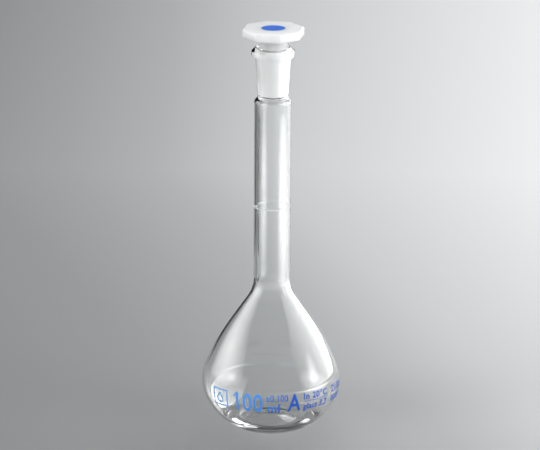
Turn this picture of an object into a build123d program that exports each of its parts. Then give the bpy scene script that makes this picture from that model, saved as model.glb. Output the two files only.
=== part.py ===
from build123d import *
import os
from math import acos, atan2, cos, degrees, radians, sin, sqrt

# One-mark volumetric flask, 100 ml, with a hollow eight-sided plastic stopper.
# Millimetres, +Z up. The origin is the middle of the base, on the surface it stands on.
# Outlines are drawn in the XZ plane (X is the radius) and turned about Z.

# Flask body: heights
flask_height = 170.0
ring_mark_height = 99.25
socket_length = 21.0
collar_band_top = 168.3
collar_band_bottom = 166.3
collar_foot = 164.55
neck_top = 145.4

# Flask body: radii of the neck, socket and collar
neck_radius = 8.0
neck_bore_radius = 6.5
socket_foot_radius = 6.6
collar_foot_radius = 7.6
collar_radius = 9.3
rim_radius = 7.45
collar_rounding = 0.55
bore_radius_top = 6.25          # the 12/21 ground socket is 12.5 across at its top
bore_taper = 0.05               # radius lost per millimetre of depth, a 1:10 taper
mouth_radius = 6.95
mouth_depth = 1.7
shoulder_radius = 2.4
shoulder_hollow_radius = 1.2
bore_shoulder_radius = 1.6
bore_step = 2.6                 # height of the curved step from the socket down to the neck's bore

# Flask body: bulb, from the neck down to the base, as arcs that run into each other
bulb_radius = 30.1
bulb_height = 21.0              # height of the widest circle
equator_radius = 18.0
equator_upper = 22.6            # degrees above the widest circle where the flank arc starts
equator_lower = 29.3            # degrees below it where the lower arc starts
flank_radius = 111.0
flank_angle = 34.9              # half angle of the straight flank under the neck
neck_fillet = 12.9
lower_radius = 27.6
heel_radius = 8.0
standing_inner_radius = 11.0    # inner edge of the flat ring that the flask stands on
punt_height = 2.0
bulb_wall = 0.69
floor_height = 4.7              # inside floor, near the heel
floor_crown = 0.5               # the floor's rise towards its middle
floor_heel_radius = 6.0
bore_fillet = 14.2

# Stopper
head_radius = 13.7              # centre to corner of the eight-sided head
head_turn = -77.7               # direction of one corner, degrees from +X
head_bottom = 174.3
head_top = 178.3
head_chamfer = 0.6
shank_radius = 6.05
cone_top = 168.2
stopper_foot = 154.3
cone_clearance = 0.03
stopper_wall = 1.3
stopper_web = 1.6               # plastic left between the hollow and the disc's seat
disc_radius = 5.25
disc_thickness = 1.1
disc_clearance = 0.02

# Fired-on marks: a thin layer that stands on the glass
mark_gap = 0.01
mark_thickness = 0.06
ring_mark_width = 0.45
mark_top = 22.85
mark_bottom = 14.85
bold_stroke = 1.35
thin_stroke = 0.42
frame_stroke = 0.75
glyph_space = 0.22              # space between two signs, as a share of their height
emblem_azimuth = -47.0          # degrees from -Y towards +X, as for every mark
drop_radius = 1.5
drop_tip = 3.0                  # from the middle of the drop's round end
drop_height = 18.15
divider_azimuth = 41.3
divider_span = 25.0             # degrees
divider_height = 18.98
divider_stroke = 0.28
lettered_marks = {              # text, azimuths of its start and end, foot, height and stroke
    "capacity_mark": ("100", -32.5, -7.0, 14.7, 8.25, bold_stroke),
    "tolerance_mark": ("+0.100", -4.5, 14.6, 19.75, 3.1, thin_stroke),
    "unit_mark": ("ml", -3.0, 8.0, 14.85, 4.1, 0.8),
    "class_mark": ("A", 13.9, 25.5, 14.85, 8.0, bold_stroke),
    "temperature_mark": ("In 20oC", 28.0, 53.0, 19.85, 3.1, thin_stroke),
    "glass_type_mark": ("glass 3.3", 28.0, 54.0, 15.0, 3.1, thin_stroke),
    "batch_mark_upper": ("21.03", 60.5, 76.0, 19.6, 3.1, thin_stroke),
    "batch_mark_lower": ("00123", 61.5, 78.0, 15.0, 3.1, thin_stroke),
}


# Points and arcs of an outline

def on_circle(centre, radius, angle):
    return (centre[0] + radius * cos(radians(angle)), centre[1] + radius * sin(radians(angle)))


def arc(centre, radius, start, end):
    middle = (start + end) / 2
    return ThreePointArc(*[on_circle(centre, radius, angle) for angle in (start, middle, end)])


def bore_radius(height):
    return bore_radius_top - bore_taper * (flask_height - height)


def step_in(radius, height, outward, inward, upper_radius):
    """Two arcs that lead up from a straight tube to a narrower one, and the height they end at."""
    turn = degrees(acos((upper_radius + inward - radius + outward) / (outward + inward)))
    low = (radius - outward, height)
    high = on_circle(low, outward + inward, turn)
    return [arc(low, outward, 0, turn), arc(high, inward, 180 + turn, 180)], high[1]


def bulb_outline(tube_radius, tube_top, wall, fillet_radius, heel, floor):
    """Edges from the neck's tube down to the flat of the base, set in from the outside by wall."""
    equator = (bulb_radius - equator_radius, bulb_height)
    flank = on_circle(equator, equator_radius - flank_radius, equator_upper)
    lower = on_circle(equator, equator_radius - lower_radius, -equator_lower)
    flank_top = on_circle(flank, flank_radius - wall, flank_angle)
    lean = radians(flank_angle)
    fillet_r = tube_radius + fillet_radius
    fillet_z = flank_top[1] + (fillet_radius - (fillet_r - flank_top[0]) * cos(lean)) / sin(lean)
    fillet = (fillet_r, fillet_z)
    fillet_end = on_circle(fillet, fillet_radius, 180 + flank_angle)
    heel_z = floor + heel
    reach = lower_radius - wall - heel
    heel_centre = (lower[0] + sqrt(reach**2 - (heel_z - lower[1]) ** 2), heel_z)
    heel_angle = degrees(atan2(heel_z - lower[1], heel_centre[0] - lower[0]))
    edges = [
        Line((tube_radius, tube_top), (tube_radius, fillet_z)),
        arc(fillet, fillet_radius, 180, 180 + flank_angle),
        Line(fillet_end, flank_top),
        arc(flank, flank_radius - wall, flank_angle, equator_upper),
        arc(equator, equator_radius - wall, equator_upper, -equator_lower),
        arc(lower, lower_radius - wall, -equator_lower, heel_angle),
        arc(heel_centre, heel, heel_angle, -90),
    ]
    return edges, heel_centre[0]


def crown(radius, edge_height, middle_height):
    """Shallow arc from the middle of the base out to a radius."""
    rise = middle_height - edge_height
    sphere = (radius**2 + rise**2) / (2 * rise)
    half = degrees(atan2(radius, sphere - rise))
    return arc((0, middle_height - sphere), sphere, 90, 90 - half)


def turned(edges):
    """Solid made by turning a closed outline about the Z axis."""
    return revolve(Plane.XZ * make_face(edges), Axis.Z)


# Sub-parts

def flask_outside():
    shoulder, socket_foot = step_in(
        neck_radius, neck_top, shoulder_radius, shoulder_hollow_radius, socket_foot_radius
    )
    collar = FilletPolyline(
        (0, flask_height),
        (rim_radius, flask_height),
        (collar_radius, collar_band_top),
        (collar_radius, collar_band_bottom),
        (collar_foot_radius, collar_foot),
        (socket_foot_radius, socket_foot),
        radius=collar_rounding,
    )
    bulb, flat_radius = bulb_outline(neck_radius, neck_top, 0, neck_fillet, heel_radius, 0)
    base = [
        Line((flat_radius, 0), (standing_inner_radius, 0)),
        crown(standing_inner_radius, 0, punt_height),
    ]
    axis = Line((0, punt_height), (0, flask_height))
    return turned([collar, *shoulder, *bulb, *base, axis])


def flask_hollow(fill_height=None):
    """Inside of the flask, up to the rim or filled to a height in the neck."""
    bulb_top = flask_height - socket_length - bore_step if fill_height is None else fill_height
    bulb, floor_radius = bulb_outline(
        neck_bore_radius, bulb_top, bulb_wall, bore_fillet, floor_heel_radius, floor_height
    )
    floor = crown(floor_radius, floor_height, floor_height + floor_crown)
    foot = (0, floor_height + floor_crown)
    if fill_height is not None:
        top = Line((neck_bore_radius, fill_height), (0, fill_height))
        return turned([*bulb, floor, Line(foot, (0, fill_height)), top])
    bore_foot = flask_height - socket_length
    shoulder, bore_start = step_in(
        neck_bore_radius, bulb_top, bore_shoulder_radius, bore_shoulder_radius, bore_radius(bore_foot)
    )
    mouth_height = flask_height - mouth_depth
    bore = Polyline(
        (bore_radius(bore_foot), bore_start),
        (bore_radius(mouth_height), mouth_height),
        (mouth_radius, flask_height),
        (0, flask_height),
        foot,
    )
    return turned([*bulb, floor, *shoulder, bore])


def flask_body():
    return flask_outside() - flask_hollow()


def ring_mark():
    """The ring on the neck that the flask is filled to."""
    band = Cylinder(neck_radius + mark_gap + mark_thickness, ring_mark_width)
    band -= Cylinder(neck_radius + mark_gap, ring_mark_width)
    return Pos(0, 0, ring_mark_height) * band


def cone_radius(height):
    return bore_radius(height) - cone_clearance


def stopper():
    corners = [on_circle((0, 0), head_radius, head_turn + 45 * corner) for corner in range(8)]
    head = Pos(0, 0, head_bottom) * extrude(make_face(Polyline(*corners, close=True)), head_top - head_bottom)
    rims = head.faces().sort_by(Axis.Z)
    head = chamfer([*rims[0].edges(), *rims[-1].edges()], head_chamfer)
    plug = turned(
        Polyline(
            (0, head_bottom + head_chamfer),
            (shank_radius, head_bottom + head_chamfer),
            (shank_radius, cone_top),
            (cone_radius(cone_top), cone_top),
            (cone_radius(stopper_foot), stopper_foot),
            (0, stopper_foot),
            close=True,
        )
    )
    ceiling = head_top - disc_thickness - stopper_web
    hollow = turned(
        Polyline(
            (0, ceiling),
            (shank_radius - stopper_wall, ceiling),
            (cone_radius(stopper_foot) - stopper_wall, stopper_foot),
            (0, stopper_foot),
            close=True,
        )
    )
    seat = Pos(0, 0, head_top - disc_thickness / 2) * Cylinder(disc_radius + disc_clearance, disc_thickness)
    return head + plug - hollow - seat


def size_disc():
    """Coloured disc let into the stopper's head."""
    return Pos(0, 0, head_top - disc_thickness / 2) * Cylinder(disc_radius, disc_thickness)


# Signs: each is drawn one unit high on the XY plane with the stroke's width as given,
# and returned with its own width

def bar(stroke, start, end):
    along = Vector(*end) - Vector(*start)
    middle = Vector(*start) + along * 0.5
    turn = degrees(atan2(along.Y, along.X))
    return Pos(middle.X, middle.Y) * Rot(0, 0, turn) * SlotOverall(along.length, stroke)


def bend(stroke, centre, radius, start, size):
    return SlotArc(CenterArc(centre, radius - stroke / 2, start, size), stroke)


def loop(stroke, centre, width, height):
    outer = SlotOverall(height, width, rotation=90)
    inner = SlotOverall(height - 2 * stroke, width - 2 * stroke, rotation=90)
    return Pos(*centre) * (outer - inner)


def sign_shape(sign, s):
    """Outline and width of one sign; s is the stroke's width."""
    if sign == "0":
        return loop(s, (0.26, 0.5), 0.52, 1.0), 0.52
    if sign == "1":
        return bar(s, (0.3, 0), (0.3, 1)) + bar(s, (0.02, 0.68), (0.3, 1)), 0.3 + s / 2
    if sign == "2":
        hook = bend(s, (0.26, 0.74), 0.26, -35, 200)
        return hook + bar(s, (0.02, 0.02), (0.46, 0.62)) + bar(s, (0, s / 2), (0.52, s / 2)), 0.52
    if sign == "3":
        return bend(s, (0.26, 0.73), 0.27, -90, 235) + bend(s, (0.26, 0.27), 0.27, -145, 235), 0.53
    if sign == ".":
        return Pos(s * 0.6, s * 0.6) * Circle(s * 0.6), s * 1.2
    if sign == "+":
        upright = bar(s, (0.3, 0.3), (0.3, 1)) + bar(s, (0, 0.64), (0.6, 0.64))
        return upright + bar(s, (0, s / 2), (0.6, s / 2)), 0.6
    if sign == "m":
        legs = [bar(s, (x, 0), (x, 0.74)) for x in (s / 2, 0.5, 1 - s / 2)]
        arches = [bend(s, (x, 0.48), 0.25 + s / 4, 0, 180) for x in (0.25 + s / 4, 0.75 - s / 4)]
        return sum(legs[1:] + arches, legs[0]), 1.0
    if sign == "n":
        arch = bend(s, (0.28, 0.46), 0.28, 0, 180)
        return bar(s, (s / 2, 0), (s / 2, 0.74)) + arch + bar(s, (0.56 - s / 2, 0), (0.56 - s / 2, 0.5)), 0.56
    if sign in ("l", "I"):
        return bar(s, (s / 2, 0), (s / 2, 1)), s
    if sign == "A":
        legs = bar(s, (0, 0), (0.36, 1)) + bar(s, (0.72, 0), (0.36, 1))
        return legs + bar(s, (0.12, 0.3), (0.6, 0.3)), 0.72
    if sign == "o":
        return Pos(0.15, 0.85) * (Circle(0.15) - Circle(0.15 - s * 0.7)), 0.3
    if sign == "C":
        curve = bend(s, (0.3, 0.7), 0.3, 20, 160) + bend(s, (0.3, 0.3), 0.3, 180, 160)
        return curve + bar(s, (s / 2, 0.25), (s / 2, 0.75)), 0.58
    if sign == "a":
        return loop(s, (0.26, 0.35), 0.52, 0.7) + bar(s, (0.52 - s / 2, 0), (0.52 - s / 2, 0.7)), 0.52
    if sign == "g":
        tail = bend(s, (0.26, 0.02), 0.26, 190, 170)
        return loop(s, (0.26, 0.35), 0.52, 0.7) + bar(s, (0.52 - s / 2, 0), (0.52 - s / 2, 0.7)) + tail, 0.52
    if sign == "s":
        return bend(s, (0.2, 0.53), 0.17 + s / 4, 20, 240) + bend(s, (0.2, 0.2), 0.17 + s / 4, -160, 240), 0.4
    raise ValueError(sign)


def mark_layer():
    """The thin layer over the widest part of the bulb that every mark is cut from."""
    centre = (bulb_radius - equator_radius, bulb_height)
    inner = equator_radius + mark_gap
    outer = inner + mark_thickness
    top, bottom = equator_upper, -equator_lower
    ends = [
        Line(on_circle(centre, inner, angle), on_circle(centre, outer, angle)) for angle in (top, bottom)
    ]
    return turned([arc(centre, inner, bottom, top), arc(centre, outer, bottom, top), *ends])


layer = mark_layer()


def fire_on(flat, azimuth, height):
    """Carry a flat shape onto the bulb; azimuth is in degrees from -Y towards +X."""
    outward = Vector(sin(radians(azimuth)), -cos(radians(azimuth)), 0)
    across = Vector(cos(radians(azimuth)), sin(radians(azimuth)), 0)
    face = Plane(origin=(0, 0, height), x_dir=across, z_dir=outward)
    return extrude(face * flat, bulb_radius + 2) & layer


def lettering(text, start, end, bottom, height, stroke):
    """A row of signs spread evenly between two azimuths."""
    shapes = [sign_shape(sign, stroke / height) if sign != " " else (None, 0.25) for sign in text]
    natural = sum(width for _, width in shapes) + glyph_space * (len(text) - 1)
    span = radians(end - start) * bulb_radius / height
    stretch = (span - sum(width for _, width in shapes)) / max(len(text) - 1, 1)
    space = min(stretch, 2 * glyph_space) if natural < span else stretch
    cursor = 0.0
    row = []
    for shape, width in shapes:
        middle = (cursor + width / 2) * height
        azimuth = start + degrees(middle / bulb_radius)
        if shape is not None:
            flat = scale(Pos(-width / 2, 0) * shape, height, about=(0, 0, 0))
            row += fire_on(flat, azimuth, bottom).solids()
        cursor += width + space
    return Compound(children=row)


def emblem_frame():
    side = mark_top - mark_bottom
    square = Rectangle(side + frame_stroke / 2, side)
    square -= Rectangle(side - 1.5 * frame_stroke, side - 2 * frame_stroke)
    return fire_on(square, emblem_azimuth, (mark_top + mark_bottom) / 2)


def emblem_drop():
    """Plain drop in the middle of the frame."""
    flank = degrees(acos(drop_radius / drop_tip))
    sides = [on_circle((0, 0), drop_radius, 90 + turn) for turn in (-flank, flank)]
    drop = make_face(Polyline(sides[0], (0, drop_tip), sides[1], close=True)) + Circle(drop_radius)
    return fire_on(drop - Circle(drop_radius / 2), emblem_azimuth, drop_height)


def divider_line():
    line = Rectangle(radians(divider_span) * bulb_radius, divider_stroke)
    return fire_on(line, divider_azimuth, divider_height)


def marks():
    return {
        **{name: lettering(*drawn) for name, drawn in lettered_marks.items()},
        "emblem_frame": emblem_frame(),
        "emblem_drop": emblem_drop(),
        "divider_line": divider_line(),
    }


def main():
    os.makedirs("parts", exist_ok=True)
    nodes = {
        "flask_body": flask_body(),
        "ring_mark": ring_mark(),
        "stopper": stopper(),
        "size_disc": size_disc(),
        **marks(),
    }
    for name, solid in nodes.items():
        export_step(solid, f"parts/{name}.step")
    filled = flask_hollow(ring_mark_height).volume / 1000
    print(f"volume to the ring mark: {filled:.2f} ml")


main()
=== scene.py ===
import bmesh
import bpy
from math import acos, atan2, cos, degrees, pi, radians, sin, sqrt, tan
from mathutils import Matrix, Vector


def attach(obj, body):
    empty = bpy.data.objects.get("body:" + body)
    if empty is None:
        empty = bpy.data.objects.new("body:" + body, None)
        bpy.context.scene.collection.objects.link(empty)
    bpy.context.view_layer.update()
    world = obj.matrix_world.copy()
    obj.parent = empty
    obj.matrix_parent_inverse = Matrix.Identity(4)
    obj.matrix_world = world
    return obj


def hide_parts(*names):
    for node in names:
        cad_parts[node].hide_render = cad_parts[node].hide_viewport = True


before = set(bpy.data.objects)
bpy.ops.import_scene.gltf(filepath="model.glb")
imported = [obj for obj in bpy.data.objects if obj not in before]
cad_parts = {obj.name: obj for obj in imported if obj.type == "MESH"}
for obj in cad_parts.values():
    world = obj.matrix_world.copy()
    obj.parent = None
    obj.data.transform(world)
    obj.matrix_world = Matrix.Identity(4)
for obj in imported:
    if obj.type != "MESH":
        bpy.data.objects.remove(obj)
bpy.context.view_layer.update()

mm = 0.001

cameraSetup = {
    "distance": 2.080,      # from the flask's axis, along the floor
    "height": 0.685,
    "pitch": 15.95,         # degrees down
    "roll": 0.34,           # degrees, the flask leans a little to the right in the view
    "sideways": -0.0009,
    "lens": 333.33,
}


def makeCamera():
    data = bpy.data.cameras.new("viewCamera")
    data.lens = cameraSetup["lens"]
    data.sensor_width = 36.0
    data.clip_start = 0.05
    data.clip_end = 40.0
    cam = bpy.data.objects.new("viewCamera", data)
    bpy.context.scene.collection.objects.link(cam)
    look = Matrix.Rotation(radians(90 - cameraSetup["pitch"]), 4, "X")
    roll = Matrix.Rotation(radians(cameraSetup["roll"]), 4, "Z")
    place = Matrix.Translation((cameraSetup["sideways"], -cameraSetup["distance"], cameraSetup["height"]))
    cam.matrix_world = place @ look @ roll
    bpy.context.scene.camera = cam


makeCamera()


def newMaterial(name):
    mat = bpy.data.materials.new(name)
    mat.use_nodes = True
    tree = mat.node_tree
    shader = tree.nodes["Principled BSDF"]
    coords = tree.nodes.new("ShaderNodeTexCoord")
    return mat, tree, shader, coords.outputs["Object"]


def addNoise(tree, coords, scale, detail=2.0, rough=0.5, distort=0.0):
    noise = tree.nodes.new("ShaderNodeTexNoise")
    noise.inputs["Scale"].default_value = scale
    noise.inputs["Detail"].default_value = detail
    noise.inputs["Roughness"].default_value = rough
    noise.inputs["Distortion"].default_value = distort
    tree.links.new(coords, noise.inputs["Vector"])
    return noise.outputs["Fac"]


def addRange(tree, value, low, high, fromLow=0.35, fromHigh=0.65):
    node = tree.nodes.new("ShaderNodeMapRange")
    for name, number in (("From Min", fromLow), ("From Max", fromHigh), ("To Min", low), ("To Max", high)):
        node.inputs[name].default_value = number
    tree.links.new(value, node.inputs["Value"])
    return node.outputs["Result"]


def addRamp(tree, value, stops):
    node = tree.nodes.new("ShaderNodeValToRGB")
    ramp = node.color_ramp
    while len(ramp.elements) < len(stops):
        ramp.elements.new(0.5)
    for element, (place, colour) in zip(ramp.elements, stops):
        element.position = place
        element.color = (*colour, 1)
    tree.links.new(value, node.inputs["Fac"])
    return node.outputs["Color"]


def addBump(tree, shader, height, strength, distance):
    node = tree.nodes.new("ShaderNodeBump")
    node.inputs["Strength"].default_value = strength
    node.inputs["Distance"].default_value = distance
    tree.links.new(height, node.inputs["Height"])
    tree.links.new(node.outputs["Normal"], shader.inputs["Normal"])
    return node


def finishMesh(bm, name, materials, smooth=True):
    mesh = bpy.data.meshes.new(name)
    bm.to_mesh(mesh)
    bm.free()
    for mat in materials:
        mesh.materials.append(mat)
    if smooth:
        for poly in mesh.polygons:
            poly.use_smooth = True
    piece = bpy.data.objects.new(name, mesh)
    bpy.context.scene.collection.objects.link(piece)
    return piece


floorSetup = {
    "halfSize": 6.0, "roughness": 0.7,
    "tint": (0.985, 0.99, 1.0),
    # painted light falloff: the floor's colour is darker at the left and in front, where less light falls
    "across": (-0.3, 0.3), "depth": (-0.03, 0.42), "lean": (-0.03, 0.11),
    "paintedFalloff": (
        (0.0, 0.25), (0.25, 0.275), (0.42, 0.335), (0.5, 0.395), (0.585, 0.48),
        (0.667, 0.625), (0.75, 0.725), (0.867, 0.87), (0.95, 0.97),
    ),
    # painted soft shadow round the flask's foot
    "shadowPlace": (-0.022, -0.03), "shadowReach": 0.085, "shadow": 0.8,
    "grain": 1500,
}


def makeFloor():
    s = floorSetup
    mat, tree, shader, coords = newMaterial("paleSheet")
    parts = tree.nodes.new("ShaderNodeSeparateXYZ")
    tree.links.new(coords, parts.inputs["Vector"])
    lean = addRange(tree, parts.outputs["Y"], *s["lean"], *s["depth"])
    across = tree.nodes.new("ShaderNodeMath")
    tree.links.new(parts.outputs["X"], across.inputs[0])
    tree.links.new(lean, across.inputs[1])
    # painted light falloff: the colour darkens towards the left and the front
    fade = addRange(tree, across.outputs["Value"], 0, 1, *s["across"])
    colour = addRamp(tree, fade, [(place, [shade * c for c in s["tint"]]) for place, shade in s["paintedFalloff"]])
    # painted shadow: the floor colour is darkened round the flask's foot
    around = tree.nodes.new("ShaderNodeMapping")
    around.inputs["Location"].default_value = (*[-c / s["shadowReach"] for c in s["shadowPlace"]], 0)
    around.inputs["Scale"].default_value = (1 / s["shadowReach"], 1 / s["shadowReach"], 1)
    tree.links.new(coords, around.inputs["Vector"])
    near = tree.nodes.new("ShaderNodeTexGradient")
    near.gradient_type = "QUADRATIC_SPHERE"
    tree.links.new(around.outputs["Vector"], near.inputs["Vector"])
    shaded = tree.nodes.new("ShaderNodeVectorMath")
    shaded.operation = "SCALE"
    tree.links.new(colour, shaded.inputs[0])
    tree.links.new(addRange(tree, near.outputs["Fac"], 1, s["shadow"], 0, 0.7), shaded.inputs["Scale"])
    tree.links.new(shaded.outputs["Vector"], shader.inputs["Base Color"])
    grain = addNoise(tree, coords, s["grain"], 2)
    addBump(tree, shader, grain, 0.03, 0.0002)
    shader.inputs["Roughness"].default_value = s["roughness"]
    shader.inputs["Specular IOR Level"].default_value = 0.0
    bm = bmesh.new()
    bmesh.ops.create_grid(bm, x_segments=1, y_segments=1, size=s["halfSize"])
    floor = finishMesh(bm, "floor", [mat], smooth=False)


makeFloor()

# each panel: its middle, what it faces, its size, its brightness, and how it dims: "fade" from the
# middle to the edges, "slope" from one side to the other; one marked "shine" is only mirrored in the
# glass, and one marked "fill" only lights the matt surfaces
panels = {
    "rightPanel": {
        "place": (0.438, 0.101, 0.26), "faces": (0, 0, 0.06),
        "size": (1.38, 0.5), "glow": 6.5, "slope": (0.1, 0.85), "for": "shine",
    },
    "lowRightPanel": {
        "place": (0.36, -0.11, 0.002), "faces": (0.36, -0.11, 1),
        "size": (0.46, 0.52), "glow": 6, "fade": 0.7, "for": "shine",
    },
    "softSpot": {
        "place": (0.373, -0.073, 0.146), "faces": (0, 0, 0.03),
        "size": (0.17, 0.15), "glow": 6, "fade": 1.0, "for": "shine",
    },
    "leftPanel": {
        "place": (-0.472, 0.041, 0.215), "faces": (0, 0, 0.06),
        "size": (0.9, 0.5), "glow": 5, "fade": 0.9, "for": "shine",
    },
    "topFill": {
        "place": (0.1, 0.9, 2.6), "faces": (0, 0.1, 0),
        "size": (4.4, 4.4), "glow": 3.05, "fade": 0.9, "for": "fill",
    },
    "frontFill": {
        "place": (0.3, -2.1, 1.05), "faces": (0, 0, 0.1),
        "size": (2.0, 2.0), "glow": 4.0, "fade": 0.9, "for": "fill",
    },
    "leftFill": {
        "place": (-1.2, -0.7, 0.55), "faces": (0, 0, 0.1),
        "size": (1.6, 1.6), "glow": 4.0, "fade": 0.9, "for": "fill",
    },
    "rightFill": {
        "place": (1.2, -0.7, 0.55), "faces": (0, 0, 0.1),
        "size": (1.6, 1.6), "glow": 4.0, "fade": 0.9, "for": "fill",
    },
}


def makePanel(name, setup):
    data = bpy.data.lights.new(name, "AREA")
    data.shape = "RECTANGLE"
    data.size, data.size_y = setup["size"]
    data.energy = setup["glow"] * pi * data.size * data.size_y
    data.use_nodes = True
    tree = data.node_tree
    across = tree.nodes.new("ShaderNodeNewGeometry").outputs["Parametric"]
    if "fade" in setup:
        centre = tree.nodes.new("ShaderNodeMapping")
        centre.inputs["Location"].default_value = (-1, -1, 0)
        centre.inputs["Scale"].default_value = (2, 2, 1)
        oval = tree.nodes.new("ShaderNodeTexGradient")
        oval.gradient_type = "SPHERICAL"
        tree.links.new(across, centre.inputs["Vector"])
        tree.links.new(centre.outputs["Vector"], oval.inputs["Vector"])
        soft = addRange(tree, oval.outputs["Fac"], 0, 1, 0, setup["fade"])
    else:
        parts = tree.nodes.new("ShaderNodeSeparateXYZ")
        tree.links.new(across, parts.inputs["Vector"])
        soft = addRange(tree, parts.outputs["X"], 0, 1, *setup["slope"])
    tree.links.new(soft, tree.nodes["Emission"].inputs["Strength"])
    lamp = bpy.data.objects.new(name, data)
    bpy.context.scene.collection.objects.link(lamp)
    place = Vector(setup["place"])
    turn = (Vector(setup["faces"]) - place).to_track_quat("-Z", "Y")
    lamp.matrix_world = Matrix.Translation(place) @ turn.to_matrix().to_4x4()
    lamp.visible_camera = False
    lamp.visible_diffuse = setup["for"] == "fill"
    lamp.visible_glossy = lamp.visible_transmission = setup["for"] == "shine"


for name, setup in panels.items():
    makePanel(name, setup)

# dark card behind on the left, drawn as a black line along the edge of the glass
darkCard = {"place": (-0.131, 0.25, 0.25), "size": (0.105, 0.5), "shade": (0.008, 0.008, 0.009)}


def makeDarkCard():
    s = darkCard
    mat, tree, shader, coords = newMaterial("darkCard")
    nap = addNoise(tree, coords, 700, 3)
    shade = addRamp(tree, nap, [(0.3, s["shade"]), (0.7, [1.5 * c for c in s["shade"]])])
    tree.links.new(shade, shader.inputs["Base Color"])
    tree.links.new(addRange(tree, nap, 0.85, 0.95), shader.inputs["Roughness"])
    shader.inputs["Specular IOR Level"].default_value = 0.1
    bm = bmesh.new()
    bmesh.ops.create_grid(bm, x_segments=1, y_segments=1, size=0.5)
    bmesh.ops.scale(bm, verts=bm.verts, vec=(s["size"][0], s["size"][1], 1))
    bmesh.ops.rotate(bm, verts=bm.verts, cent=(0, 0, 0), matrix=Matrix.Rotation(radians(90), 3, "X"))
    bmesh.ops.translate(bm, verts=bm.verts, vec=s["place"])
    card = finishMesh(bm, "darkCard", [mat], smooth=False)
    card.visible_camera = card.visible_diffuse = card.visible_shadow = False


makeDarkCard()

room = {"tint": (0.9, 0.95, 1.0, 1), "glow": 0.16}
world = bpy.data.worlds.new("dimRoom")
world.use_nodes = True
world.node_tree.nodes["Background"].inputs["Color"].default_value = room["tint"]
world.node_tree.nodes["Background"].inputs["Strength"].default_value = room["glow"]
bpy.context.scene.world = world
bpy.context.scene.view_settings.view_transform = "Standard"
print("studio ready")

# outlines are a chain of vertices that operators extend, then spin round the axis
def startOutline(radius, height):
    bm = bmesh.new()
    return {"bm": bm, "end": bm.verts.new((radius * mm, 0, height * mm))}


def lineTo(outline, radius, height, steps=1):
    start = outline["end"].co.copy()
    goal = Vector((radius * mm, 0, height * mm))
    for step in range(steps):
        made = bmesh.ops.extrude_vert_indiv(outline["bm"], verts=[outline["end"]])
        outline["end"] = made["verts"][0]
        outline["end"].co = start.lerp(goal, (step + 1) / steps)


# a positive angle turns the outline's end from the top of the axis outwards
def arcAbout(outline, radius, height, angle, steps):
    made = bmesh.ops.spin(
        outline["bm"], geom=[outline["end"]], cent=(radius * mm, 0, height * mm), axis=(0, 1, 0),
        angle=radians(angle), steps=steps, use_duplicate=False,
    )
    outline["end"] = [item for item in made["geom_last"] if isinstance(item, bmesh.types.BMVert)][0]


def spinOutline(outline, steps):
    bm = outline["bm"]
    bmesh.ops.spin(
        bm, geom=bm.verts[:] + bm.edges[:], cent=(0, 0, 0), axis=(0, 0, 1), angle=2 * pi,
        steps=steps, use_merge=True, use_duplicate=False,
    )
    bmesh.ops.remove_doubles(bm, verts=bm.verts, dist=0.002 * mm)
    bmesh.ops.recalc_face_normals(bm, faces=bm.faces)
    return bm


flask = {
    "rimHeight": 170.0, "rimRadius": 7.45, "mouthRadius": 6.95, "mouthDepth": 1.7,
    "collarRadius": 9.3, "collarTop": 168.3, "collarBottom": 166.3, "collarFoot": 164.55,
    "collarFootRadius": 7.6, "socketFootRadius": 6.6, "socketLength": 21.0,
    "boreTop": 6.25, "boreTaper": 0.05,
    "neckTop": 145.4, "neckRadius": 8.0, "neckBore": 6.5,
    "shoulder": 2.4, "shoulderHollow": 1.2, "boreShoulder": 1.6, "boreStep": 2.6,
    "bulbRadius": 30.09, "bulbHeight": 21.0, "equator": 18.0, "equatorUpper": 22.6, "equatorLower": 29.3,
    "flank": 111.0, "flankAngle": 34.9, "fillet": 12.9, "boreFillet": 14.2, "lower": 27.6,
    "heel": 8.0, "standing": 11.0, "punt": 2.0, "wall": 0.69, "floor": 4.7, "crown": 0.5, "floorHeel": 6.0,
    "collarRound": 0.5, "mouthLip": 0.01, "groundEdge": 0.05, "groundFoot": 0.3, "groundReach": 6.3,
    "around": 192,
}


def onCircle(centre, radius, angle):
    return Vector((centre[0] + radius * cos(radians(angle)), centre[1] + radius * sin(radians(angle))))


# centres and turns of the arcs between the neck and the base, set in by the wall
def bulbCentres(tube, wall, fillet, heel, floor):
    f = flask
    equator = (f["bulbRadius"] - f["equator"], f["bulbHeight"])
    flankCentre = onCircle(equator, f["equator"] - f["flank"], f["equatorUpper"])
    lowerCentre = onCircle(equator, f["equator"] - f["lower"], -f["equatorLower"])
    flankTop = onCircle(flankCentre, f["flank"] - wall, f["flankAngle"])
    lean = radians(f["flankAngle"])
    filletHeight = flankTop[1] + (fillet - (tube + fillet - flankTop[0]) * cos(lean)) / sin(lean)
    reach = f["lower"] - wall - heel
    heelHeight = floor + heel
    heelCentre = (lowerCentre[0] + sqrt(reach ** 2 - (heelHeight - lowerCentre[1]) ** 2), heelHeight)
    heelAngle = degrees(atan2(heelHeight - lowerCentre[1], heelCentre[0] - lowerCentre[0]))
    return equator, flankCentre, lowerCentre, flankTop, (tube + fillet, filletHeight), heelCentre, heelAngle


def traceBulb(outline, tube, wall, fillet, heel, floor):
    f = flask
    centres = bulbCentres(tube, wall, fillet, heel, floor)
    equator, flankC, lowerC, flankTop, filletC, heelC, heelAngle = centres
    lineTo(outline, tube, filletC[1], 12)
    arcAbout(outline, *filletC, -f["flankAngle"], 14)
    lineTo(outline, *flankTop, 5)
    arcAbout(outline, *flankC, f["flankAngle"] - f["equatorUpper"], 10)
    arcAbout(outline, *equator, f["equatorUpper"] + f["equatorLower"], 24)
    arcAbout(outline, *lowerC, -f["equatorLower"] - heelAngle, 16)
    arcAbout(outline, *heelC, heelAngle + 90, 14)


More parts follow.
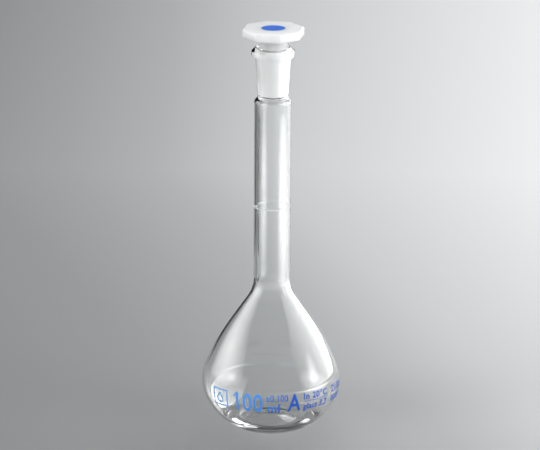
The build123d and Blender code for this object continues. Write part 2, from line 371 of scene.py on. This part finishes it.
# shallow arc from a radius in to the axis
def crownTo(outline, radius, edge, middle, steps):
    rise = middle - edge
    ball = (radius ** 2 + rise ** 2) / (2 * rise)
    half = degrees(atan2(radius, ball - rise))
    arcAbout(outline, 0, middle - ball, -half, steps)


def stepArcs(radius, outward, inward, upper):
    turn = degrees(acos((upper + inward - radius + outward) / (outward + inward)))
    rise = (outward + inward) * sin(radians(turn))
    return turn, rise, radius - outward + (outward + inward) * cos(radians(turn))


# line towards a corner and an arc round it
def roundCorner(outline, before, corner, after, radius, steps):
    corner = Vector(corner)
    inward = (Vector(before) - corner).normalized()
    onward = (Vector(after) - corner).normalized()
    half = inward.angle(onward) / 2
    lineTo(outline, *(corner + inward * (radius / tan(half))))
    centre = corner + (inward + onward).normalized() * (radius / sin(half))
    side = inward.cross(onward)
    turn = degrees(pi - 2 * half)
    arcAbout(outline, *centre, turn if side > 0 else -turn, steps)


def boreRadius(height):
    return flask["boreTop"] - flask["boreTaper"] * (flask["rimHeight"] - height)


def makeFlask(mats):
    f = flask
    out = startOutline(f["mouthRadius"] + f["mouthLip"], f["rimHeight"])
    turn, rise, shift = stepArcs(f["neckRadius"], f["shoulder"], f["shoulderHollow"], f["socketFootRadius"])
    socketFoot = (f["socketFootRadius"], f["neckTop"] + rise)
    collar = [
        (f["mouthRadius"], f["rimHeight"]), (f["rimRadius"], f["rimHeight"]),
        (f["collarRadius"], f["collarTop"]),
        (f["collarRadius"], f["collarBottom"]), (f["collarFootRadius"], f["collarFoot"]), socketFoot,
    ]
    for before, corner, after in zip(collar, collar[1:], collar[2:]):
        roundCorner(out, before, corner, after, f["collarRound"], 5)
    lineTo(out, *socketFoot, 4)
    arcAbout(out, shift, socketFoot[1], -turn, 6)
    arcAbout(out, f["neckRadius"] - f["shoulder"], f["neckTop"], turn, 8)
    traceBulb(out, f["neckRadius"], 0, f["fillet"], f["heel"], 0)
    lineTo(out, f["standing"], 0, 2)
    crownTo(out, f["standing"], 0, f["punt"], 10)
    bm = spinOutline(out, f["around"])

    inner = startOutline(f["mouthRadius"] + f["mouthLip"], f["rimHeight"])
    mouth = f["rimHeight"] - f["mouthDepth"]
    lineTo(inner, boreRadius(mouth), mouth, 2)
    boreFoot = f["rimHeight"] - f["socketLength"]
    tubeTop = boreFoot - f["boreStep"]
    turn, rise, shift = stepArcs(f["neckBore"], f["boreShoulder"], f["boreShoulder"], boreRadius(boreFoot))
    lineTo(inner, boreRadius(boreFoot), tubeTop + rise, 8)
    arcAbout(inner, shift, tubeTop + rise, -turn, 6)
    arcAbout(inner, f["neckBore"] - f["boreShoulder"], tubeTop, turn, 6)
    traceBulb(inner, f["neckBore"], f["wall"], f["boreFillet"], f["floorHeel"], f["floor"])
    heelCentre = bulbCentres(f["neckBore"], f["wall"], f["boreFillet"], f["floorHeel"], f["floor"])[5]
    crownTo(inner, heelCentre[0], f["floor"], f["floor"] + f["crown"], 10)
    inside = spinOutline(inner, f["around"])
    mesh = bpy.data.meshes.new("insideWall")
    inside.to_mesh(mesh)
    inside.free()
    bm.from_mesh(mesh)
    bpy.data.meshes.remove(mesh)
    bmesh.ops.remove_doubles(bm, verts=bm.verts, dist=0.004 * mm)
    bmesh.ops.recalc_face_normals(bm, faces=bm.faces)
    groundTop = (f["rimHeight"] - f["mouthDepth"] - f["groundEdge"]) * mm
    groundFoot = (boreFoot - f["groundFoot"]) * mm
    for face in bm.faces:
        middle = face.calc_center_median()
        if groundFoot < middle.z < groundTop and middle.xy.length < f["groundReach"] * mm:
            face.material_index = 1
    print("flask faces", len(bm.faces), "open edges", sum(not e.is_manifold for e in bm.edges))
    piece = finishMesh(bm, "flaskGlass", mats)
    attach(piece, "flask")
    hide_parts("flask_body")
    piece.visible_shadow = False      # light reaches the stopper and the floor through the clear glass


def clearGlass():
    mat, tree, shader, coords = newMaterial("clearGlass")
    shader.inputs["Base Color"].default_value = (0.972, 0.98, 0.976, 1)
    shader.inputs["Transmission Weight"].default_value = 1.0
    shader.inputs["IOR"].default_value = 1.473
    film = addNoise(tree, coords, 90, 3)
    tree.links.new(addRange(tree, film, 0.0, 0.012), shader.inputs["Roughness"])
    # long, very shallow waves, as drawn tube has them
    stretch = tree.nodes.new("ShaderNodeMapping")
    stretch.inputs["Scale"].default_value = (1, 1, 0.25)
    tree.links.new(coords, stretch.inputs["Vector"])
    addBump(tree, shader, addNoise(tree, stretch.outputs["Vector"], 110, 1), 0.06, 0.0004)
    return mat


def groundGlass():
    mat, tree, shader, coords = newMaterial("groundGlass")
    grain = addNoise(tree, coords, 5200, 3, 0.7)
    shade = addRamp(tree, grain, [(0.3, (0.96, 0.96, 0.965)), (0.7, (0.995, 0.995, 0.995))])
    tree.links.new(shade, shader.inputs["Base Color"])
    shader.inputs["Transmission Weight"].default_value = 0.25
    tree.links.new(addRange(tree, grain, 0.5, 0.7), shader.inputs["Roughness"])
    shader.inputs["IOR"].default_value = 1.473
    addBump(tree, shader, grain, 0.25, 0.00006)
    return mat


makeFlask([clearGlass(), groundGlass()])
print("flask made")


# thin fired prints: text or a flat sign, cut into a fine grid, wrapped on the bulb and given its thickness
printSetup = {"gap": 0.012, "thickness": 0.05, "cut": 0.75, "spacing": 1.08, "flagDrop": 0.12}
prints = {
    "capacityPrint": {
        "text": "100", "node": "capacity_mark",
        "span": (-32.5, -7.0), "low": 14.6, "high": 23.1, "bold": 0.02, "flag": 0.13,
    },
    "tolerancePrint": {
        "text": "\u00b10.100", "node": "tolerance_mark",
        "span": (-4.3, 14.2), "low": 19.75, "high": 22.8, "bold": 0.02,
    },
    "unitPrint": {
        "text": "ml", "node": "unit_mark",
        "span": (-3.0, 7.6), "low": 14.7, "high": 18.8, "bold": 0.035,
    },
    "classPrint": {
        "text": "A", "node": "class_mark",
        "span": (14.0, 25.6), "low": 14.95, "high": 22.9, "bold": 0.02,
    },
    "temperaturePrint": {
        "text": "In 20\u00b0C", "node": "temperature_mark",
        "span": (28.2, 53.0), "low": 19.8, "high": 22.9, "bold": 0.024,
    },
    "glassTypePrint": {
        "text": "glass 3.3", "node": "glass_type_mark",
        "span": (28.2, 53.6), "low": 14.2, "high": 18.2, "bold": 0.024,
    },
    "batchUpperPrint": {
        "text": "21.03", "node": "batch_mark_upper",
        "span": (60.5, 78.0), "low": 19.6, "high": 22.8, "bold": 0.012,
    },
    "batchLowerPrint": {
        "text": "00123", "node": "batch_mark_lower",
        "span": (60.5, 78.0), "low": 15.0, "high": 18.2, "bold": 0.012,
    },
}


def bulbSurface(height):
    f = flask
    return f["bulbRadius"] - f["equator"] + sqrt(f["equator"] ** 2 - (height - f["bulbHeight"]) ** 2)


def flatText(text, bold):
    curve = bpy.data.curves.new("lettering", "FONT")
    curve.body = text
    curve.offset = bold
    curve.space_character = printSetup["spacing"]
    curve.resolution_u = 6
    carrier = bpy.data.objects.new("lettering", curve)
    bpy.context.scene.collection.objects.link(carrier)
    bpy.context.view_layer.update()
    evaluated = carrier.evaluated_get(bpy.context.evaluated_depsgraph_get())
    mesh = bpy.data.meshes.new_from_object(evaluated)
    bm = bmesh.new()
    bm.from_mesh(mesh)
    bpy.data.objects.remove(carrier)
    bpy.data.curves.remove(curve)
    bpy.data.meshes.remove(mesh)
    bmesh.ops.remove_doubles(bm, verts=bm.verts, dist=0.0001)
    return bm


# the sloping stroke at the top of the first digit, which the plain digit lacks
def addFlag(bm, reach):
    top = max(v.co.y for v in bm.verts)
    bar = min(v.co.x for v in bm.verts)
    made = bmesh.ops.create_grid(bm, x_segments=1, y_segments=1, size=0.5)
    for vert in made["verts"]:
        atBar, atTop = vert.co.x > 0, vert.co.y > 0
        lower = (0 if atBar else printSetup["flagDrop"]) + (0 if atTop else printSetup["flagDrop"])
        vert.co = Vector((bar if atBar else bar - reach, top - lower, 0))
    bmesh.ops.recalc_face_normals(bm, faces=bm.faces)


# stretches a flat sign over its span of degrees and heights, and lays it on the bulb
def wrapOnBulb(bm, span, low, high):
    across = radians(span[1] - span[0]) * flask["bulbRadius"]
    xs = [v.co.x for v in bm.verts]
    ys = [v.co.y for v in bm.verts]
    bmesh.ops.translate(bm, verts=bm.verts, vec=(-min(xs), -min(ys), 0))
    stretch = (across / (max(xs) - min(xs)), (high - low) / (max(ys) - min(ys)), 1)
    bmesh.ops.scale(bm, verts=bm.verts, vec=stretch)
    step = printSetup["cut"]
    for axis, reach in (((1, 0, 0), across), ((0, 1, 0), high - low)):
        for cut in range(1, int(reach / step) + 1):
            geom = bm.verts[:] + bm.edges[:] + bm.faces[:]
            place = [a * cut * step for a in axis]
            bmesh.ops.bisect_plane(bm, geom=geom, dist=0.00001, plane_co=place, plane_no=axis)
    for vert in bm.verts:
        turn = radians(span[0]) + vert.co.x / flask["bulbRadius"]
        height = low + vert.co.y
        radius = bulbSurface(height) + printSetup["gap"]
        vert.co = Vector((radius * sin(turn), -radius * cos(turn), height)) * mm


def thicken(bm):
    made = bmesh.ops.extrude_face_region(bm, geom=bm.faces[:], use_keep_orig=True)
    for item in made["geom"]:
        if isinstance(item, bmesh.types.BMVert):
            outward = Vector((item.co.x, item.co.y, 0)).normalized()
            item.co += outward * printSetup["thickness"] * mm
    bmesh.ops.recalc_face_normals(bm, faces=bm.faces)


def finishSign(bm, name, node, setup, mat):
    wrapOnBulb(bm, setup["span"], setup["low"], setup["high"])
    thicken(bm)
    piece = finishMesh(bm, name, [mat], smooth=False)
    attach(piece, "flask")
    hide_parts(node)


def blueEnamel():
    mat, tree, shader, coords = newMaterial("blueEnamel")
    parts = tree.nodes.new("ShaderNodeSeparateXYZ")
    tree.links.new(coords, parts.inputs["Vector"])
    # painted light and shade: the blue is lighter towards the left of the bulb and darker towards the right
    sideShade = addRange(tree, parts.outputs["X"], 0, 1, -0.026, 0.026)
    speckle = addNoise(tree, coords, 2600, 3, 0.65)
    mixed = tree.nodes.new("ShaderNodeMath")
    mixed.operation = "MULTIPLY_ADD"
    mixed.inputs[1].default_value = 0.16
    tree.links.new(speckle, mixed.inputs[0])
    tree.links.new(sideShade, mixed.inputs[2])
    colour = addRamp(tree, mixed.outputs["Value"], [
        (0.05, (0.20, 0.50, 1.0)), (0.45, (0.10, 0.36, 0.95)),
        (0.75, (0.015, 0.11, 0.62)), (1.0, (0.025, 0.14, 0.66)),
    ])
    tree.links.new(colour, shader.inputs["Base Color"])
    tree.links.new(addRange(tree, speckle, 0.28, 0.42), shader.inputs["Roughness"])
    addBump(tree, shader, speckle, 0.1, 0.00003)
    return mat


# square frame with a drop in it, and the line between the two small texts
signs = {
    "frame": {"span": (-55.5, -38.8), "low": 15.05, "high": 22.85, "stroke": 0.075},
    "drop": {"span": (-51.0, -43.6), "low": 16.5, "high": 21.4, "stroke": 0.17, "point": 1.45, "waist": 0.55},
    "divider": {"span": (29.0, 54.0), "low": 18.87, "high": 19.12},
}


# leaves a border of the stroke's width from a single face
def openMiddle(bm, stroke):
    bmesh.ops.inset_individual(bm, faces=bm.faces[:], thickness=stroke, use_even_offset=True)
    middle = min(bm.faces, key=lambda face: face.calc_center_median().length)
    bmesh.ops.delete(bm, geom=[middle], context="FACES")


def makeSigns(mat):
    bm = bmesh.new()
    bmesh.ops.create_grid(bm, x_segments=1, y_segments=1, size=0.5)
    openMiddle(bm, signs["frame"]["stroke"])
    finishSign(bm, "emblemFrame", "emblem_frame", signs["frame"], mat)

    bm = bmesh.new()
    bmesh.ops.create_circle(bm, cap_ends=True, segments=40, radius=0.5)
    for vert in bm.verts:
        if vert.co.y > 0:
            rise = vert.co.y / 0.5
            vert.co.x *= 1 - signs["drop"]["waist"] * rise ** 2
            vert.co.y *= 1 + (signs["drop"]["point"] - 1) * rise ** 3
    openMiddle(bm, signs["drop"]["stroke"])
    finishSign(bm, "emblemDrop", "emblem_drop", signs["drop"], mat)

    bm = bmesh.new()
    bmesh.ops.create_grid(bm, x_segments=1, y_segments=1, size=0.5)
    finishSign(bm, "dividerPrint", "divider_line", signs["divider"], mat)


enamel = blueEnamel()
for name, p in prints.items():
    lettering = flatText(p["text"], p["bold"])
    if "flag" in p:
        addFlag(lettering, p["flag"])
    finishSign(lettering, name, p["node"], p, enamel)
makeSigns(enamel)
print("prints made")

stopper = {
    "headBottom": 174.3, "headTop": 178.3, "headRadius": 13.7, "headTurn": -77.7,
    "cornerRound": 0.6, "rimRound": 0.8,
    "shankRadius": 6.05, "coneTop": 168.2, "foot": 154.3, "coneClearance": 0.03, "wall": 1.3, "web": 1.6,
    "edge": 0.25, "innerEdge": 0.15, "ceilingEdge": 0.3, "footEdge": 0.2, "ledgeEdge": 0.03,
    "discRadius": 5.25, "discThickness": 1.1, "seatClearance": 0.02, "discCrown": 0.12, "discEdge": 0.1,
    "around": 96,
}


def ringAt(bm, radius, height):
    made = bmesh.ops.create_circle(bm, cap_ends=False, segments=stopper["around"], radius=radius * mm)
    bmesh.ops.translate(bm, verts=made["verts"], vec=(0, 0, height * mm))
    return list({e for v in made["verts"] for e in v.link_edges})


def coneAt(height):
    return boreRadius(height) - stopper["coneClearance"]


def bevelEdges(bm, edges, width):
    bmesh.ops.bevel(bm, geom=edges, offset=width * mm, affect="EDGES", segments=4, profile=0.5, material=-1)


def edgeRise(edge):
    return abs(edge.verts[0].co.z - edge.verts[1].co.z)


def makeStopper(mat):
    s = stopper
    bm = bmesh.new()
    turn = Matrix.Rotation(radians(s["headTurn"]), 3, "Z")
    bmesh.ops.create_circle(bm, cap_ends=True, segments=8, radius=s["headRadius"] * mm)
    # create_circle starts on the Y axis, the head's first corner is counted from X
    bmesh.ops.rotate(bm, verts=bm.verts, cent=(0, 0, 0), matrix=turn @ Matrix.Rotation(radians(-90), 3, "Z"))
    bmesh.ops.translate(bm, verts=bm.verts, vec=(0, 0, s["headBottom"] * mm))
    made = bmesh.ops.extrude_face_region(bm, geom=bm.faces[:], use_keep_orig=True)
    top = [v for v in made["geom"] if isinstance(v, bmesh.types.BMVert)]
    bmesh.ops.translate(bm, verts=top, vec=(0, 0, (s["headTop"] - s["headBottom"]) * mm))
    bmesh.ops.recalc_face_normals(bm, faces=bm.faces)
    bevelEdges(bm, [e for e in bm.edges if edgeRise(e) > mm], s["cornerRound"])
    bevelEdges(bm, [e for e in bm.edges if edgeRise(e) < 0.1 * mm], s["rimRound"])
    bm.faces.ensure_lookup_table()
    topFace = max(bm.faces, key=lambda f: f.calc_center_median().z)
    bottomFace = min(bm.faces, key=lambda f: f.calc_center_median().z)
    topLoop, bottomLoop = list(topFace.edges), list(bottomFace.edges)
    bmesh.ops.delete(bm, geom=[topFace, bottomFace], context="FACES_ONLY")

    seatRadius = s["discRadius"] + s["seatClearance"]
    seatFloor = s["headTop"] - s["discThickness"]
    seat = [ringAt(bm, seatRadius, s["headTop"]), ringAt(bm, seatRadius, seatFloor)]
    bmesh.ops.triangle_fill(bm, edges=topLoop + seat[0], use_beauty=True)
    bmesh.ops.bridge_loops(bm, edges=seat[0] + seat[1])
    bmesh.ops.holes_fill(bm, edges=seat[1], sides=0)

    ceiling = s["headTop"] - s["discThickness"] - s["web"]
    coneRadius, footRadius, shank = coneAt(s["coneTop"]), coneAt(s["foot"]), s["shankRadius"]
    rings = [
        (shank + s["edge"], s["headBottom"]), (shank, s["headBottom"] - s["edge"]),
        (shank, s["coneTop"] + 0.05), (coneRadius - s["ledgeEdge"], s["coneTop"] + 0.02),
        (coneRadius, s["coneTop"] - 0.1),
        (footRadius, s["foot"] + s["edge"]), (footRadius - s["footEdge"], s["foot"]),
        (footRadius - s["wall"] + s["innerEdge"], s["foot"]),
        (footRadius - s["wall"], s["foot"] + s["innerEdge"]),
        (shank - s["wall"], ceiling - s["ceilingEdge"]), (shank - s["wall"] - s["ceilingEdge"], ceiling),
    ]
    before = ringAt(bm, *rings[0])
    bmesh.ops.triangle_fill(bm, edges=bottomLoop + before, use_beauty=True)
    for radius, height in rings[1:]:
        after = ringAt(bm, radius, height)
        bmesh.ops.bridge_loops(bm, edges=before + after)
        before = after
    bmesh.ops.holes_fill(bm, edges=before, sides=0)
    bmesh.ops.recalc_face_normals(bm, faces=bm.faces)
    print("stopper faces", len(bm.faces), "open edges", sum(not e.is_manifold for e in bm.edges))
    piece = finishMesh(bm, "stopperBody", [mat])
    piece.data.set_sharp_from_angle(angle=radians(40))
    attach(piece, "stopper")
    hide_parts("stopper")


def makeDisc(mat):
    s = stopper
    bm = bmesh.new()
    under = s["headTop"] - s["discThickness"] + 0.01
    edge = s["headTop"] - s["discCrown"]
    rings = [
        (s["discRadius"], under), (s["discRadius"], edge - s["discEdge"]),
        (s["discRadius"] - s["discCrown"], edge),
    ]
    first = before = ringAt(bm, *rings[0])
    for radius, height in rings[1:]:
        after = ringAt(bm, radius, height)
        bmesh.ops.bridge_loops(bm, edges=before + after)
        before = after
    for share in (0.75, 0.5, 0.25):
        after = ringAt(bm, s["discRadius"] * share, edge + (s["discCrown"] - 0.03) * (1 - share ** 2))
        bmesh.ops.bridge_loops(bm, edges=before + after)
        before = after
    bmesh.ops.holes_fill(bm, edges=before, sides=0)
    bmesh.ops.holes_fill(bm, edges=first, sides=0)
    bmesh.ops.recalc_face_normals(bm, faces=bm.faces)
    print("disc faces", len(bm.faces), "open edges", sum(not e.is_manifold for e in bm.edges))
    piece = finishMesh(bm, "sizeDisc", [mat])
    piece.data.set_sharp_from_angle(angle=radians(40))
    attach(piece, "stopper")
    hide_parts("size_disc")


def naturalPlastic():
    mat, tree, shader, coords = newMaterial("naturalPlastic")
    cloud = addNoise(tree, coords, 220, 3)
    shade = addRamp(tree, cloud, [(0.3, (0.90, 0.90, 0.925)), (0.7, (0.945, 0.945, 0.96))])
    tree.links.new(shade, shader.inputs["Base Color"])
    fine = addNoise(tree, coords, 3800, 3, 0.6)
    tree.links.new(addRange(tree, fine, 0.34, 0.46), shader.inputs["Roughness"])
    shader.inputs["Subsurface Weight"].default_value = 0.7
    shader.inputs["Subsurface Radius"].default_value = (1.0, 1.0, 1.05)
    shader.inputs["Subsurface Scale"].default_value = 0.008
    addBump(tree, shader, fine, 0.12, 0.00005)
    return mat


def bluePlastic():
    mat, tree, shader, coords = newMaterial("bluePlastic")
    cloud = addNoise(tree, coords, 900, 3)
    shade = addRamp(tree, cloud, [(0.3, (0.025, 0.14, 0.66)), (0.7, (0.04, 0.19, 0.76))])
    tree.links.new(shade, shader.inputs["Base Color"])
    fine = addNoise(tree, coords, 4200, 2)
    tree.links.new(addRange(tree, fine, 0.3, 0.42), shader.inputs["Roughness"])
    addBump(tree, shader, fine, 0.1, 0.00004)
    return mat


def whiteEnamel():
    mat, tree, shader, coords = newMaterial("whiteEnamel")
    speckle = addNoise(tree, coords, 2600, 3, 0.65)
    shade = addRamp(tree, speckle, [(0.3, (0.78, 0.80, 0.83)), (0.7, (0.90, 0.91, 0.93))])
    tree.links.new(shade, shader.inputs["Base Color"])
    tree.links.new(addRange(tree, speckle, 0.3, 0.45), shader.inputs["Roughness"])
    addBump(tree, shader, speckle, 0.1, 0.00003)
    return mat


makeStopper(naturalPlastic())
makeDisc(bluePlastic())
ringEnamel = whiteEnamel()
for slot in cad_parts["ring_mark"].material_slots:
    slot.material = ringEnamel
print("stopper made")
